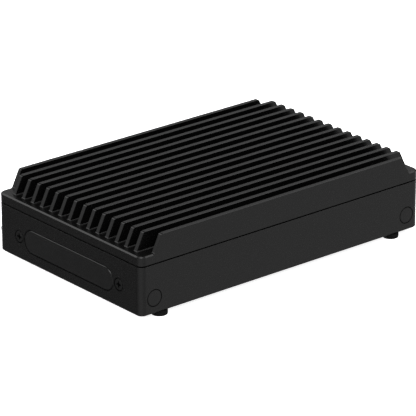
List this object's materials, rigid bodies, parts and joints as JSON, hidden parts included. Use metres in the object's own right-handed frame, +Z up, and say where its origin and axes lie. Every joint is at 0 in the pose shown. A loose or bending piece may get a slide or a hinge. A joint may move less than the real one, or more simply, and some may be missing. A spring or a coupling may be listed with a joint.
{
  "type": "fanless mini pc",
  "caption": "Low fanless computer with a finned heatsink lid on a shallow rounded base housing, blanked end windows, rubber feet and a row of sockets on one long side.",
  "frame": {"origin": "on the surface that the feet stand on, under the centre of the whole box, antenna connectors included", "axes": "+X along the case's long edge, +Y out of the socket side, +Z up; the plain long side faces -Y"},
  "size_m": [0.177, 0.117, 0.0422],
  "materials": {
    "powder_black": "black powder coat on aluminium, fine grain",
    "plate_black": "black powder coat on aluminium, slightly smoother",
    "plug_black": "matte black plastic",
    "screw_black": "black-coated steel",
    "screw_steel": "plain steel",
    "rubber_black": "matte",
    "board_green": "solder mask over glass laminate",
    "plastic_black": "matte",
    "plastic_clear": "clear, gloss",
    "chip_grey": "satin",
    "aluminium": "machined",
    "nickel": "nickel-plated",
    "pad_grey": "matte silicone",
    "cable_black": "satin sheath"
  },
  "bodies": {
    "case": {"heatsink_lid": "powder_black", "base_housing": "powder_black", "end_plate_left": "plate_black", "end_plate_right": "plate_black", "service_cover": "plate_black", "side_plug_left": "plug_black", "side_plug_right": "plug_black", "mainboard": "board_green", "memory_module": "board_green", "ssd_module": "board_green", "radio_module": "board_green", "cpu_package": "chip_grey", "cpu_thermal_pad": "pad_grey", "spreader_thermal_pad": "pad_grey", "heat_spreader_block": "aluminium", "memory_socket": "plastic_black", "ssd_socket": "plastic_black", "radio_socket": "plastic_black", "coin_cell_holder": "plastic_black", "power_switch": "plastic_black", "dc_jack": "plastic_black", "usb_stack_1": "nickel", "usb_stack_2": "nickel", "lan_jack": "nickel", "video_port": "nickel", "coin_cell": "nickel", "status_light_pipe": "plastic_clear", "antenna_connector_1": "screw_black", "antenna_connector_2": "screw_black", "antenna_nut_1": "screw_black", "antenna_nut_2": "screw_black", "antenna_cable_1": "cable_black", "antenna_cable_2": "cable_black", "ssd_screw": "screw_steel", "rubber_foot_1": "rubber_black", "lid_screw_1": "screw_black", "end_plate_screw_1": "screw_black", "service_cover_screw_1": "screw_black", "board_screw_1": "screw_steel", "rubber_foot_2": "rubber_black", "lid_screw_2": "screw_black", "end_plate_screw_2": "screw_black", "service_cover_screw_2": "screw_black", "board_screw_2": "screw_steel", "rubber_foot_3": "rubber_black", "lid_screw_3": "screw_black", "end_plate_screw_3": "screw_black", "service_cover_screw_3": "screw_black", "board_screw_3": "screw_steel", "rubber_foot_4": "rubber_black", "lid_screw_4": "screw_black", "end_plate_screw_4": "screw_black", "service_cover_screw_4": "screw_black", "board_screw_4": "screw_steel"},
    "power_button": {"power_button": "plug_black"},
    "memory_latch_left": {"memory_latch_left": "nickel"},
    "memory_latch_right": {"memory_latch_right": "nickel"}
  },
  "joints": [
    {"name": "power_button_press", "type": "slide", "parent": "case", "child": "power_button", "axis": [0, -1, 0], "range_m": [0, 0.001], "stiffness_N_per_m": 1500},
    {"name": "memory_latch_left_open", "type": "hinge", "parent": "case", "child": "memory_latch_left", "pos_m": [-0.03465, -0.02685, 0.0117], "axis": [0, 0, -1], "range_deg": [0, 8], "stiffness_Nm_per_rad": 0.5},
    {"name": "memory_latch_right_open", "type": "hinge", "parent": "case", "child": "memory_latch_right", "pos_m": [0.03465, -0.02685, 0.0117], "axis": [0, 0, 1], "range_deg": [0, 8], "stiffness_Nm_per_rad": 0.5}
  ]
}
